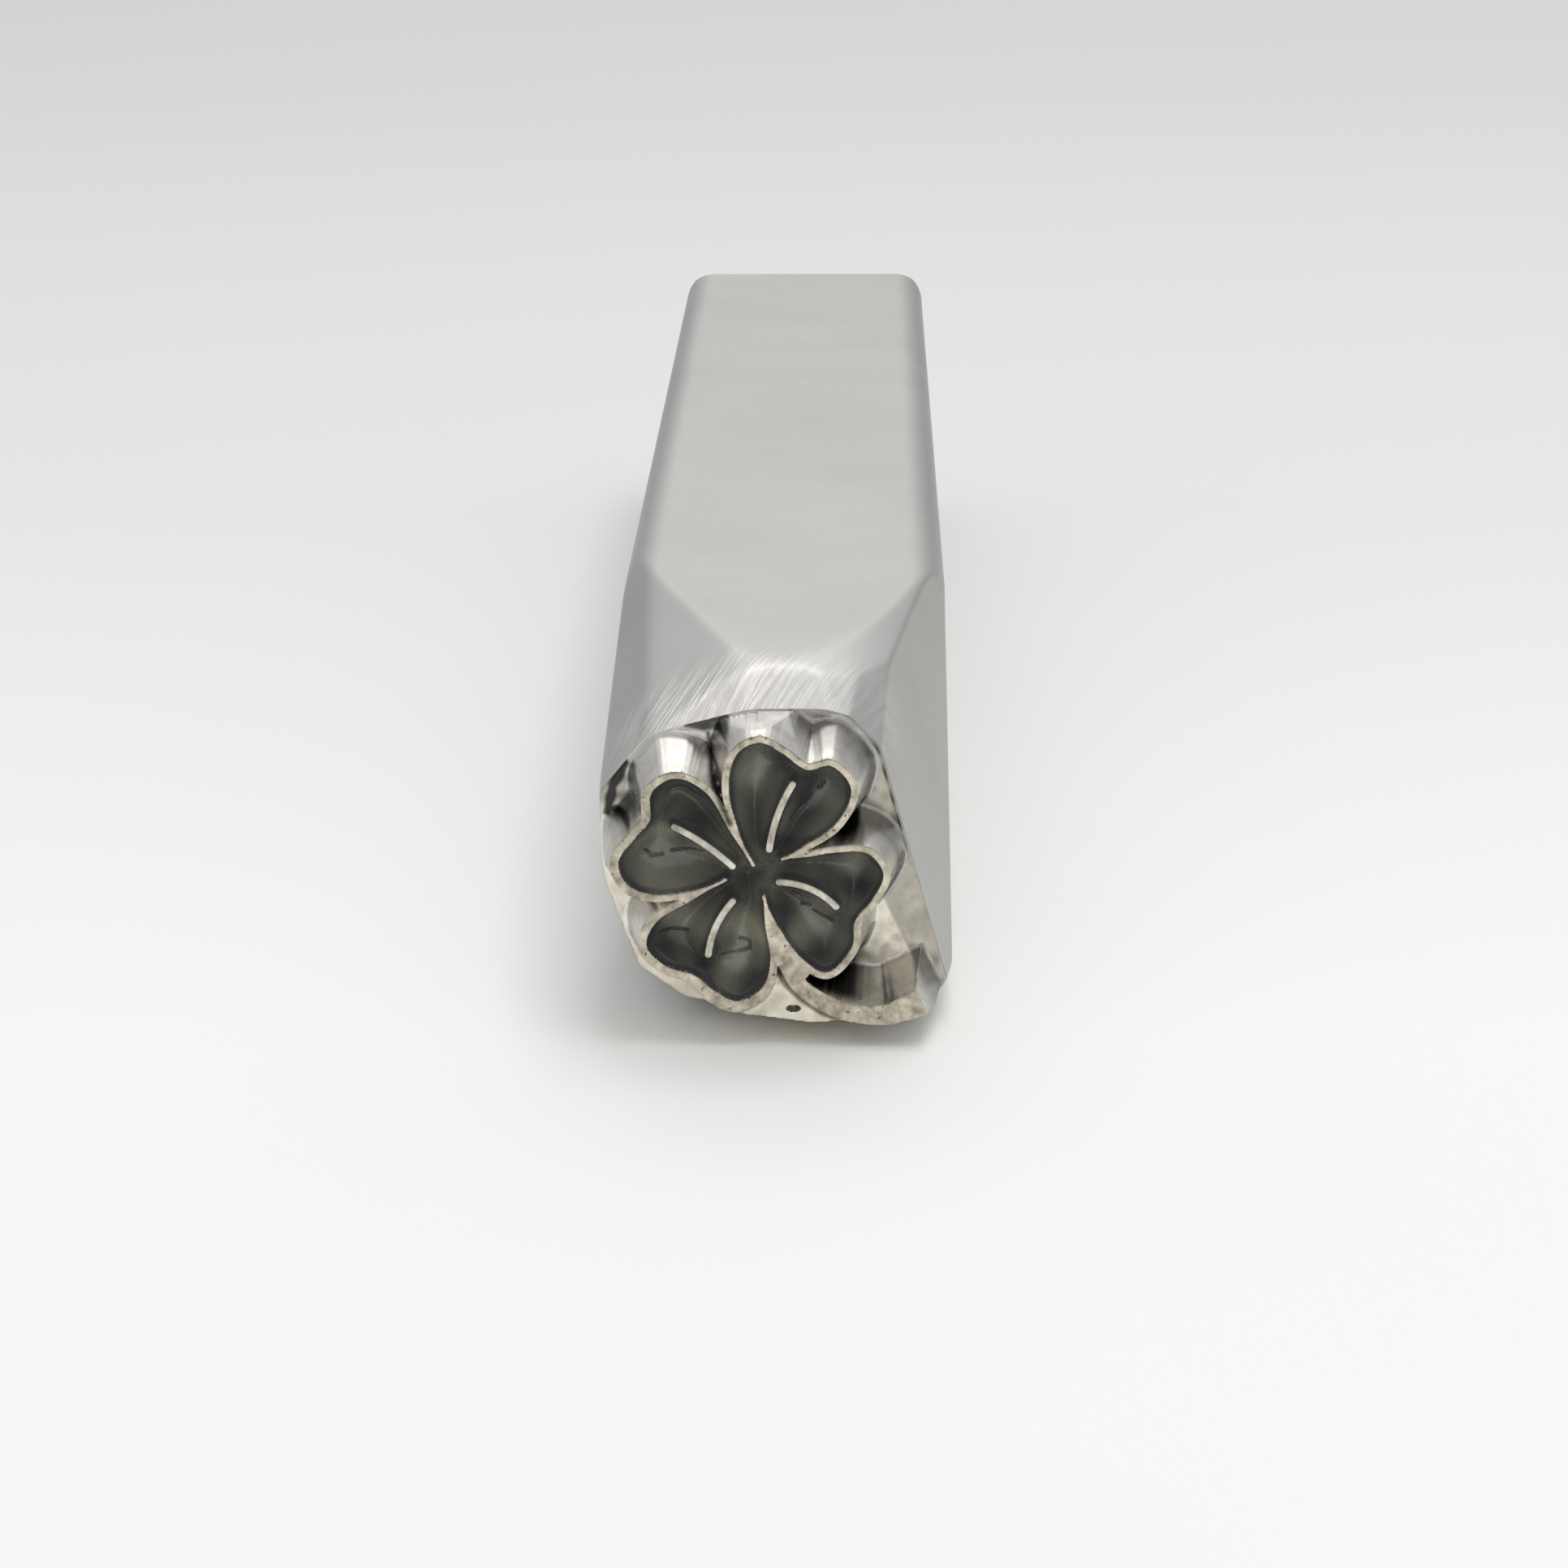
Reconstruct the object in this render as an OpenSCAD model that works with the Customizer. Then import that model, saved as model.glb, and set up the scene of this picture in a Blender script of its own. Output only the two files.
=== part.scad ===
// Design stamp: one hardened steel punch with a four-leaf clover cut on its working end.
// The tool lies on one flat of its square bar. X is across the bar, Y runs along it from
// the stamping face at -Y to the struck end at +Y, and Z is up, with Z = 0 under the bar.

/* [Bar] */
// Width across the flats of the square bar
bar_w = 9.5; // [9.4:0.1:11]
// Length from the stamping face to the struck end
tool_len = 63.5; // [55:0.5:75]
// Radius along the bar's four long edges
edge_r = 1.1; // [0.6:0.1:1.6]

/* [Struck end] */
// Length of the zone that takes the hammer
struck_len = 6; // [4:0.5:8]
// Chamfer round the struck face
struck_chamfer = 1.3; // [0.5:0.1:2]

/* [Ground nose] */
// Distance behind the stamping face where the last of the grinding runs out
nose_end = 27; // [26:1:32]
// Radius of the long shallow cone where it would meet the stamping face
cone_r = 5.76; // [5.6:0.02:6]
// Growth of that cone's radius for each millimetre behind the face
cone_rise = 0.121; // [0.11:0.001:0.14]

/* [Stamping face] */
// Height of the design above the field round it
relief = 2; // [1.2:0.1:2.2]
// How far the foot of each outer wall stands out from its top
draft = 0.33; // [0.1:0.01:0.4]
// Width of the outline's flat top
line_w = 0.2; // [0.15:0.01:0.25]
// Width of each vein's flat top
vein_w = 0.18; // [0.14:0.01:0.24]
// Depth of each leaf's pocket at its walls
pocket = 0.7; // [0.5:0.05:0.9]
// Extra depth of the two scoops in each leaf
scoop = 0.5; // [0.3:0.05:0.7]
// Depth of the low web between the lower leaf and the stem
web_depth = 0.34; // [0.2:0.02:0.6]
// Thickness of the field that carries the design
field_t = 0.5; // [0.4:0.1:0.8]

/* [Hidden] */

TOP = 0;
RIGHT = 1;
LOWER = 2;
LEFT = 3;

curve_steps = 5; // straight pieces in each stretch of a curve
ball_fn = 48;    // sides of the balls that cut the scoops

face_y = -tool_len / 2;
field_y = face_y + relief;
nose_y = field_y + field_t;
shank_y = face_y + nose_end;
struck_y = tool_len / 2 - struck_len;
half_w = bar_w / 2;

// The design is drawn in the face, in millimetres from the bar's axis: X, then Z.
// The leaves meet at the hub, and neighbours share the tip of the wall between them.
hub = [-0.5, 0.1];
wall_tips = [[-0.57, 0.35], [0.2, 0.52], [-0.3, -0.52], [-1.31, -0.06]];

// Each leaf runs clockwise from one wall tip to the next: out along its side, round a lobe,
// in to the notch, round the other lobe and back.
leaf_points = [
    [[-0.93, 1.25], [-1.19, 2.4], [-1.0, 3.35], [-0.4, 3.7], [0.2, 3.42], [0.83, 2.97],
     [1.5, 3.06], [2.0, 2.4], [1.6, 1.5], [0.75, 0.87]],
    [[0.85, 0.58], [1.6, 0.7], [2.4, 0.68], [2.84, 0.1], [2.55, -0.6], [2.1, -1.2],
     [2.0, -1.95], [1.35, -2.63], [0.6, -2.13], [0, -1.2]],
    [[-0.27, -1.3], [-0.14, -2.3], [-0.35, -3.05], [-1.0, -3.43], [-1.6, -3.17],
     [-2.15, -2.72], [-2.9, -2.45], [-3.4, -1.9], [-3.1, -1.2], [-2.2, -0.63]],
    [[-2.1, -0.34], [-3.1, -0.46], [-3.85, -0.2], [-4.1, 0.45], [-3.65, 1.1], [-3.27, 1.6],
     [-3.2, 2.35], [-2.55, 2.73], [-1.75, 2.3], [-1.15, 1.25]]
];

// Each vein bends from a start near the hub, past a control point, to its outer end.
vein_bends = [
    [[-0.15, 0.79], [-0.02, 1.75], [0.47, 2.57]],
    [[0.1, -0.12], [1.0, -0.15], [1.6, -0.8]],
    [[-1.12, -0.65], [-1.68, -1.3], [-1.78, -2.14]],
    [[-1.12, 0.32], [-1.85, 1.02], [-2.63, 1.4]]
];

// Two scoops in each leaf, one under each lobe: X, Z and radius of the ball that cuts it.
leaf_scoops = [
    [[-0.35, 2.5, 1.5], [1.1, 2.2, 1.4]],
    [[1.85, -0.05, 1.4], [1.1, -1.5, 1.5]],
    [[-0.85, -2.4, 1.5], [-2.4, -1.7, 1.4]],
    [[-3.05, 0.4, 1.45], [-2.35, 1.7, 1.35]]
];

// The stem's middle line, each point with half the stem's width.
stem_points = [
    [0.05, -1.9, 0.15], [0.5, -2.85, 0.21], [1.15, -3.42, 0.24], [1.9, -3.75, 0.26],
    [2.8, -3.85, 0.28], [3.45, -3.65, 0.35], [3.86, -3.46, 0.38]
];

// Outline of the web under the stem. Its upper corners lie inside the leaf and the stem.
web_points = [[-1.3, -3.2], [0.1, -2.2], [0.9, -3.25], [1.9, -3.85], [1.6, -4.2], [-0.9, -4.12]];

// Outline of the ridge that fills the narrow start of the gap above the stem.
fill_points = [[0.15, -1.9], [0.55, -2], [0.95, -2.4], [0.86, -2.8], [0.45, -2.85]];

// Centre of the shallow cone, from the bar's axis: X, then Z.
cone_centre = [0.15, -1.55];

// Flats ground round the face: direction each one faces, its distance from the axis at the
// field, and how much further out it lies for each millimetre behind the field.
facets = [
    [15.4, 3.46, 0.155], [43.5, 4.05, 0.28], [73, 4.22, 0.3], [90, 4.01, 0.34],
    [104, 4.05, 0.34], [114, 4.38, 0.127], [141, 4.74, 0.107], [182, 4.65, 0.1],
    [200, 4.57, 0.12], [234.5, 4.76, 0.2], [262, 4.4, 0.25], [273, 4.52, 0.2],
    [322, 5.8, 0.1]
];

// ---- curves ----

// Point at share t of the stretch from b to c of a smooth curve through a, b, c and d.
function smooth_point(a, b, c, d, t) =
    0.5 * (2 * b + (c - a) * t + (2 * a - 5 * b + 4 * c - d) * t * t
    + (3 * b - a - 3 * c + d) * t * t * t);

// Open smooth curve through every point of p.
function smooth_curve(p) =
    let (last = len(p) - 1)
    [for (i = [0 : last - 1], k = [0 : curve_steps - 1])
        smooth_point(p[max(i - 1, 0)], p[i], p[i + 1], p[min(i + 2, last)], k / curve_steps),
     p[last]];

// Curve from b[0] to b[2] that leans towards b[1].
function bend(b, steps) =
    [for (k = [0 : steps])
        let (t = k / steps) (1 - t) * (1 - t) * b[0] + 2 * t * (1 - t) * b[1] + t * t * b[2]];

function flat(p) = [p[0], p[1]];
function unit(v) = v / norm(v);
function left_of(v) = [-v[1], v[0]];

// Direction of the line p at its point i.
function heading(p, i) = unit(flat(p[min(i + 1, len(p) - 1)]) - flat(p[max(i - 1, 0)]));

// The line p, moved to its left by a distance.
function moved_left(p, distance) =
    [for (i = [0 : len(p) - 1]) flat(p[i]) + distance * left_of(heading(p, i))];

// Outline of a line of varying width: p holds X, Z and half the width at each point.
function band(p, extra = 0) =
    let (last = len(p) - 1)
    [for (i = [last : -1 : 0]) flat(p[i]) + (p[i][2] + extra) * left_of(heading(p, i)),
     for (i = [0 : last]) flat(p[i]) - (p[i][2] + extra) * left_of(heading(p, i))];

// Outline of a leaf, its side walls moved outwards by a distance.
function leaf_outline(i, distance = 0) =
    let (side = [wall_tips[i], each leaf_points[i], wall_tips[(i + 1) % 4]])
    [hub, each smooth_curve(moved_left(side, distance))];

function vein_outline(i) =
    band([for (p = bend(vein_bends[i], 2 * curve_steps)) [p[0], p[1], vein_w / 2]]);

// Where the field's edge turns from one ground flat to the next.
function facet_corner(a, b) =
    [a[1] * sin(b[0]) - b[1] * sin(a[0]), b[1] * cos(a[0]) - a[1] * cos(b[0])]
    / sin(b[0] - a[0]);

field_outline =
    [for (i = [0 : len(facets) - 1]) facet_corner(facets[i], facets[(i + 1) % len(facets)])];

// ---- placing ----

// Extrudes a drawing of the face along Y, from y to y + length.
module along(y, length)
    translate([0, y + length, half_w])
        rotate([90, 0, 0])
            linear_extrude(length) children();

// Stands its children on the field, with their +Z towards the stamping face.
module on_field()
    translate([0, field_y, half_w])
        rotate([90, 0, 0]) children();

// ---- shapes ----

module bar_section() {
    straight = bar_w - 2 * edge_r;
    square([bar_w, straight], center = true);
    square([straight, bar_w], center = true);
    for (x = [-1, 1], z = [-1, 1])
        translate([x, z] * straight / 2) circle(r = edge_r, $fn = 48);
}

// What one flat takes off the bar: everything beyond it.
module beyond(facet) {
    size = 2 * nose_end;
    translate([0, field_y, half_w])
        rotate([0, -facet[0], 0])
            translate([facet[1], 0, 0])
                rotate([0, 0, -atan(facet[2])])
                    translate([0, -size / 2, -size / 2])
                        cube([size, 2 * size, size]);
}

// The bar as it was ground, from y to y + length.
module ground_bar(y, length)
    difference() {
        intersection() {
            along(y, length) bar_section();
            translate([cone_centre[0], face_y, half_w + cone_centre[1]])
                rotate([-90, 0, 0])
                    cylinder(h = nose_end, r1 = cone_r,
                        r2 = cone_r + cone_rise * nose_end, $fn = 96);
        }
        for (facet = facets) beyond(facet);
    }

// Solid between a foot outline, at a depth below the field, and a top outline at the height
// of the relief. The two have as many points, and both can be seen whole from the middle.
module leaning_walls(foot, top, middle, below) {
    n = len(foot);
    points = [
        for (p = foot) [p[0], p[1], -below],
        for (p = top) [p[0], p[1], relief],
        [middle[0], middle[1], -below], [middle[0], middle[1], relief]
    ];
    faces = [
        for (i = [0 : n - 1])
            let (j = (i + 1) % n)
            each [[i, j, n + i], [j, n + j, n + i], [j, i, 2 * n], [n + i, n + j, 2 * n + 1]]
    ];
    polyhedron(points, faces);
}

module clover_block(below = 0)
    for (i = [TOP, RIGHT, LOWER, LEFT])
        leaning_walls(
            leaf_outline(i, line_w + draft * (1 + below / relief)),
            leaf_outline(i, line_w),
            (leaf_points[i][1] + leaf_points[i][8]) / 2, below);

module pockets()
    translate([0, 0, -1])
        linear_extrude(relief + 2)
            for (i = [TOP, RIGHT, LOWER, LEFT]) polygon(leaf_outline(i));

// ---- parts ----

module shank()
    color("silver") along(shank_y, struck_y - shank_y) bar_section();

module struck_end() {
    reach_out = bar_w;
    color("lightgray") difference() {
        along(struck_y, struck_len) bar_section();
        for (a = [0 : 90 : 270])
            translate([0, tool_len / 2, half_w])
                rotate([0, a, 0])
                    translate([0, -struck_chamfer, half_w])
                        rotate([-45, 0, 0])
                            translate([-reach_out, -reach_out, 0])
                                cube([2 * reach_out, 2 * reach_out, reach_out]);
    }
}

module nose()
    color("gainsboro") ground_bar(nose_y, shank_y - nose_y);

module face_field()
    color("tan") ground_bar(field_y, field_t);

module clover_outline()
    color("whitesmoke") on_field() difference() {
        clover_block();
        pockets();
    }

// The stem: four corners at each station along its middle line, two at its foot, two on top.
module stem_block() {
    line = smooth_curve(stem_points);
    n = len(line);
    foot = band(line, draft);
    top = band(line);
    points = [
        for (k = [0 : n - 1])
            each [[each foot[n - 1 - k], 0], [each top[n - 1 - k], relief],
                  [each top[n + k], relief], [each foot[n + k], 0]]
    ];
    last = 4 * (n - 1);
    faces = [
        [1, 2, 3], [0, 1, 3],
        for (k = [0 : n - 2], c = [0 : 3])
            let (a = 4 * k + c, b = 4 * k + (c + 1) % 4)
            each [[a + 4, b, a], [a + 4, b + 4, b]],
        [last + 2, last + 1, last], [last + 3, last + 2, last]
    ];
    polyhedron(points, faces);
}

module stem()
    color("whitesmoke") on_field() difference() {
        union() {
            stem_block();
            linear_extrude(relief - web_depth) polygon(web_points);
            linear_extrude(relief) polygon(fill_points);
        }
        clover_block(below = 0.5);
        pockets();
    }

module vein(i)
    color("whitesmoke") on_field() linear_extrude(relief) polygon(vein_outline(i));

module recess(i)
    color("dimgray") on_field() difference() {
        linear_extrude(relief - pocket) difference() {
            polygon(leaf_outline(i));
            polygon(vein_outline(i));
        }
        for (s = leaf_scoops[i])
            translate([s[0], s[1], relief - pocket - scoop + s[2]])
                sphere(r = s[2], $fn = ball_fn);
    }

shank();
struck_end();
nose();
face_field();
clover_outline();
stem();
vein(TOP);  // vein_top
vein(RIGHT);  // vein_right
vein(LOWER);  // vein_lower
vein(LEFT);  // vein_left
recess(TOP);  // recess_top
recess(RIGHT);  // recess_right
recess(LOWER);  // recess_lower
recess(LEFT);  // recess_left
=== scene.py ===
"""Looks of the clover design stamp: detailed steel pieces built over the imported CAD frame.

The working end is one height map over the face, cut exactly along the edges of the design and
then divided into a solid for each CAD node. The bar is swept from the same ground outline.
Places on the face are X and Z from the bar's axis, and depths are behind the top of the design,
in millimetres. Meshes are in metres.
"""
import math

import bpy
import numpy as np
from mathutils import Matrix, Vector


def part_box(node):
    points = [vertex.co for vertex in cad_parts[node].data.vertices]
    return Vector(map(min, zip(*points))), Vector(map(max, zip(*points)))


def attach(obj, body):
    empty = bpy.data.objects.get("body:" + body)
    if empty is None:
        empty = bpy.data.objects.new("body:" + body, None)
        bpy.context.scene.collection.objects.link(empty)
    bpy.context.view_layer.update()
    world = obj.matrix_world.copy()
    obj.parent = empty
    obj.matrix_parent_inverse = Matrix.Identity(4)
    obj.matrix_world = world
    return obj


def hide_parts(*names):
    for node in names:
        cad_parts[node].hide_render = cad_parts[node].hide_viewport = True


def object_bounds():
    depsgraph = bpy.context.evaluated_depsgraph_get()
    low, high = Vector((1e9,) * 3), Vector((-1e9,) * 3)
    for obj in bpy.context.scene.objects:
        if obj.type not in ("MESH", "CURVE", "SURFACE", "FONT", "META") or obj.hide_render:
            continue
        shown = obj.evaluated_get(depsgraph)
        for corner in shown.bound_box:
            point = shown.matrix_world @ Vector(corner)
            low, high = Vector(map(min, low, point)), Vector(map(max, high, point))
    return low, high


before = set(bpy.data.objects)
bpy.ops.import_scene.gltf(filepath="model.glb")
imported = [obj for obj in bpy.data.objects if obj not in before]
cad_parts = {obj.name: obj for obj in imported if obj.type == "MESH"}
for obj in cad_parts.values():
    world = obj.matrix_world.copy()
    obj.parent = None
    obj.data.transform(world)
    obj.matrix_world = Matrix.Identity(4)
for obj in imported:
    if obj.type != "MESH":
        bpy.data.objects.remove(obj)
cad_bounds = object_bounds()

# ---------------------------------------------------------------- sizes, in millimetres

MM = 0.001
LO, HI = cad_bounds
BAR_W = (HI[0] - LO[0]) / MM
TOOL_LEN = (HI[1] - LO[1]) / MM
HALF = BAR_W / 2
FACE_Y = LO[1] / MM
EDGE_R = 1.1              # radius of the bar's long edges
STRUCK_CHAMFER = 1.3
NOSE_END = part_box("shank")[0][1] / MM - FACE_Y
STRUCK_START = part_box("struck_end")[0][1] / MM - FACE_Y
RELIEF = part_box("face_field")[0][1] / MM - FACE_Y
# The cone that the nose is first turned to: radius at the face, growth and centre.
CONE_R, CONE_RISE, CONE_CENTRE = 5.76, 0.121, (0.15, -1.55)

DRAFT = 0.33              # run of a wall from its top down to the field
HIGH_DRAFT = 0.11         # extra run at the top, where the walls reach the edge of the field
LINE_W = 0.19             # flat top of the clover's outline
VEIN_W = 0.17
TIP_R = 0.042             # half the width of the blunt tips of the walls
ROLL = 0.06               # rounding of the field's outer edge
FOOT = DRAFT + 0.16       # where a wall's fillet has run out on to the field
CREST, CREST_W = 0.014, 0.045        # depth and width of the rounding at a wall's top edges
VEIN_CREST, VEIN_CREST_W = 0.012, 0.04
STREAK_IN = 0.08          # how far out from a top edge the uneven wall starts in full

GRID = 0.034
GRID_HALF = 4.95          # half the side of the grid laid over the face
SIDES = 720

HUB = np.array([-0.5, 0.1])
WALL_TIPS = [(-0.57, 0.35), (0.2, 0.52), (-0.3, -0.52), (-1.31, -0.06)]
LEAF_POINTS = [
    [(-0.93, 1.25), (-1.19, 2.4), (-1.0, 3.35), (-0.4, 3.7), (0.2, 3.42), (0.83, 2.97),
     (1.5, 3.06), (2.0, 2.4), (1.6, 1.5), (0.75, 0.87)],
    [(0.85, 0.58), (1.6, 0.7), (2.4, 0.68), (2.84, 0.1), (2.55, -0.6), (2.1, -1.2),
     (2.0, -1.95), (1.35, -2.63), (0.6, -2.13), (0, -1.2)],
    [(-0.27, -1.3), (-0.14, -2.3), (-0.35, -3.05), (-1.0, -3.43), (-1.6, -3.17),
     (-2.15, -2.72), (-2.9, -2.45), (-3.4, -1.9), (-3.1, -1.2), (-2.2, -0.63)],
    [(-2.1, -0.34), (-3.1, -0.46), (-3.85, -0.2), (-4.1, 0.45), (-3.65, 1.1), (-3.27, 1.6),
     (-3.2, 2.35), (-2.55, 2.73), (-1.75, 2.3), (-1.15, 1.25)],
]
LEAF_NAMES = ["top", "right", "lower", "left"]
VEIN_BENDS = [
    [(-0.15, 0.79), (-0.02, 1.75), (0.47, 2.57)],
    [(0.1, -0.12), (1.0, -0.15), (1.6, -0.8)],
    [(-1.12, -0.65), (-1.68, -1.3), (-1.78, -2.14)],
    [(-1.12, 0.32), (-1.85, 1.02), (-2.63, 1.4)],
]
# The stem's middle line: X, Z and half its width.
STEM_POINTS = [
    (-0.07, -1.5, 0.1), (0.05, -1.9, 0.15), (0.5, -2.85, 0.21), (1.15, -3.42, 0.24),
    (1.9, -3.75, 0.26), (2.8, -3.85, 0.28), (3.45, -3.65, 0.35), (3.86, -3.46, 0.38),
]
# Metal left between the stem and the right leaf: a line and half its width.
CROTCH, CROTCH_W = [(0.2, -1.9), (0.74, -2.64)], 0.15
# The pit in the web: its centre and half its width and height.
PORE, PORE_SIZE = (0.46, -3.72), (0.17, 0.085)
# Shallow strokes that a tool left in the leaves.
TOOL_MARKS = [
    [(-2.8, 2.2), (-2.45, 2.3), (-1.95, 2.1)], [(-2.75, 0.45), (-1.9, 0.6)],
    [(-3.45, 0.5), (-3.3, 0.3), (-3.0, 0.35)], [(-3.05, -1.7), (-2.35, -1.75)],
    [(-0.95, -2.0), (-0.7, -2.05), (-0.7, -2.25), (-1.05, -2.4), (-1.5, -2.35)],
    [(0.45, -0.6), (0.65, -0.75)], [(0.7, -1.0), (0.9, -1.05)], [(1.0, -1.2), (1.5, -1.5)],
    [(1.28, 2.36), (1.15, 2.2)], [(0.95, 2.0), (0.85, 1.9)], [(0.7, 1.75), (0.43, 1.46)],
]
# Painted shade beside the walls, darkest in the gaps between them: half-width, strength, then a
# line of X, Z.
SHADE_LINES = [
    (0.04, 0.9, [(-1.18, 1.5), (-1.42, 2.1), (-1.66, 2.7), (-1.8, 3.4)]),
    (0.16, 0.9, [(-2.3, 3.7), (-1.9, 3.6), (-1.4, 3.75)]),
    (0.04, 0.5, [(0.15, -2.5), (0.07, -2.95)]),
    (0.08, 0.85, [(-4.0, 2.55), (-4.35, 1.9), (-4.5, 1.2)]),
    (0.06, 0.85, [(-4.4, 1.3), (-3.9, 1.35)]),
    (0.08, 0.9, [(-3.9, -0.95), (-3.4, -0.8)]),
]
# Painted highlights in the leaves, where the black finish is painted lighter for the light that
# the bowls reflect: X, Z, radius and how much.
LIT_SPOTS = [
    (-3.1, 0.35, 0.75, 0.8), (-0.85, -1.7, 0.6, 0.9), (-1.1, -2.6, 0.38, 1.1),
    (-0.5, 2.6, 0.55, 0.6), (1.3, 2.1, 0.5, 0.35), (2.1, 0.25, 0.45, 0.6),
    (0.95, -1.45, 0.55, 0.7), (-2.7, -1.35, 0.4, 0.6), (-2.95, 1.15, 0.3, 0.8),
]
# Flats ground round the nose: direction in degrees, reach at the field and lean.
FACETS = [
    (15.4, 3.46, 0.155), (43.5, 4.05, 0.28), (73, 4.22, 0.3), (90, 4.01, 0.34),
    (104, 4.05, 0.34), (114, 4.38, 0.127), (141, 4.74, 0.107), (182, 4.65, 0.1),
    (200, 4.57, 0.12), (234.5, 4.76, 0.2), (262, 4.4, 0.25), (273, 4.52, 0.2),
    (322, 5.8, 0.1),
]
# The flats that also cut the walls and the web, in front of the field.
CUTTING = [FACETS[1], FACETS[-3], FACETS[-2]]

# ---------------------------------------------------------------- curves and distances


def smooth_curve(points, steps=14):
    """Smooth open curve through every point, as part.scad draws it."""
    p = np.array(points, float)
    last = len(p) - 1
    out = []
    for i in range(last):
        a, b, c, d = p[max(i - 1, 0)], p[i], p[i + 1], p[min(i + 2, last)]
        for k in range(steps):
            t = k / steps
            out.append(0.5 * (2 * b + (c - a) * t + (2 * a - 5 * b + 4 * c - d) * t * t
                              + (3 * b - a - 3 * c + d) * t ** 3))
    return np.array(out + [p[last]])


def bend(points, steps=24):
    """Curve from the first point to the last, drawn towards the middle one."""
    a, b, c = (np.array(q, float) for q in points)
    t = np.linspace(0, 1, steps + 1)[:, None]
    return (1 - t) ** 2 * a + 2 * t * (1 - t) * b + t * t * c


def near_line(p, line):
    """Distance from each of p to an open line, and how far along the line the nearest point is."""
    line = np.array(line, float)
    a, b = line[:-1, :2], line[1:, :2]
    ab = b - a
    length = np.linalg.norm(ab, axis=1)
    start = np.concatenate([[0], np.cumsum(length)[:-1]])
    dist, along = np.empty(len(p)), np.empty(len(p))
    chunk = 4000
    for i in range(0, len(p), chunk):
        q = p[i:i + chunk, None, :] - a[None]
        t = np.clip((q * ab[None]).sum(2) / (length ** 2)[None], 0, 1)
        d2 = ((q - t[..., None] * ab[None]) ** 2).sum(2)
        k = d2.argmin(1)
        r = np.arange(len(k))
        dist[i:i + chunk] = np.sqrt(d2[r, k])
        along[i:i + chunk] = start[k] + t[r, k] * length[k]
    return dist, along


def distance(p, line):
    return near_line(p, line)[0]


def inside(p, loop):
    """Whether each of p is inside a closed loop."""
    a, b = loop, np.roll(loop, -1, 0)
    hit = np.zeros(len(p), bool)
    chunk = 8000
    for i in range(0, len(p), chunk):
        x, z = p[i:i + chunk, 0, None], p[i:i + chunk, 1, None]
        cross = (a[None, :, 1] > z) != (b[None, :, 1] > z)
        dz = np.where(cross, b[None, :, 1] - a[None, :, 1], 1)
        cut = a[None, :, 0] + (z - a[None, :, 1]) / dz * (b[None, :, 0] - a[None, :, 0])
        hit[i:i + chunk] = (cross & (x < cut)).sum(1) % 2 == 1
    return hit


def smin(a, b, k):
    """The smaller of two values, with a round of size k where they meet."""
    h = np.maximum(k - np.abs(a - b), 0) / k
    return np.minimum(a, b) - h * h * k / 4


def smax(a, b, k):
    return -smin(-a, -b, k)


def step(v, low, high):
    """0 below low, 1 above high and smooth between them."""
    t = np.clip((v - low) / (high - low), 0, 1)
    return t * t * (3 - 2 * t)


def bell(v, centre, width, power=2):
    """1 at the centre, falling to nothing on both sides."""
    return np.exp(-((v - centre) / width) ** power)


def hill(x, z, centre, size, power=2):
    """1 at a place on the face, falling to nothing all round it."""
    return np.exp(-(((x - centre[0]) / size[0]) ** power + ((z - centre[1]) / size[1]) ** power))


def ripple(s, seed, low, high, n=14):
    """Smooth irregular wave of about unit height, with periods from 1/high to 1/low."""
    rng = np.random.default_rng(seed)
    out = np.zeros_like(s)
    for f in np.geomspace(low, high, n):
        out += np.sin(2 * np.pi * f * (s * rng.uniform(0.93, 1.07)) + rng.uniform(0, 6.3))
    return out / math.sqrt(n)


def ripple2(p, seed, low, high, n=26):
    """The same over the face, with waves in every direction."""
    rng = np.random.default_rng(seed)
    out = np.zeros(len(p))
    for f in np.geomspace(low, high, n):
        a = rng.uniform(0, 2 * np.pi)
        out += np.sin(2 * np.pi * f * (p[:, 0] * math.cos(a) + p[:, 1] * math.sin(a))
                      + rng.uniform(0, 6.3))
    return out / math.sqrt(n / 2)


LEAVES = [smooth_curve([WALL_TIPS[i], *LEAF_POINTS[i], WALL_TIPS[(i + 1) % 4]])
          for i in range(4)]
OUTLINE = np.concatenate([leaf[:-1] for leaf in LEAVES] + [LEAVES[0][:1]])
VEINS = [bend(v) for v in VEIN_BENDS]
# The wall tips are blunt: a short narrow stroke runs out along each.
TIPS = [(LEAVES[i][0], (LEAVES[i][9] + LEAVES[i - 1][-10]) / 2) for i in range(4)]
STEM = smooth_curve(STEM_POINTS)


def blank_edge(x, z, t):
    """Below 0 inside the bar as it was ground, at t millimetres behind the stamping face."""
    q = [np.abs(v) - (HALF - EDGE_R) for v in (x, z)]
    bar = (np.hypot(np.maximum(q[0], 0), np.maximum(q[1], 0))
           + np.minimum(np.maximum(q[0], q[1]), 0) - EDGE_R)
    parts = [bar, np.hypot(x - CONE_CENTRE[0], z - CONE_CENTRE[1]) - CONE_R - CONE_RISE * t]
    for angle, reach, lean in FACETS:
        a = math.radians(angle)
        parts.append(x * math.cos(a) + z * math.sin(a) - reach - lean * (t - RELIEF))
    end = t - (TOOL_LEN - STRUCK_CHAMFER)
    parts.append((np.abs(x) + end - HALF) * math.sqrt(0.5))
    parts.append((np.abs(z) + end - HALF) * math.sqrt(0.5))
    parts = np.array(parts)
    top = parts.max(0)
    soft = 0.03                # how much the edges between flats are rounded
    return top + soft * np.log(np.exp((parts - top) / soft).sum(0))


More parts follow.
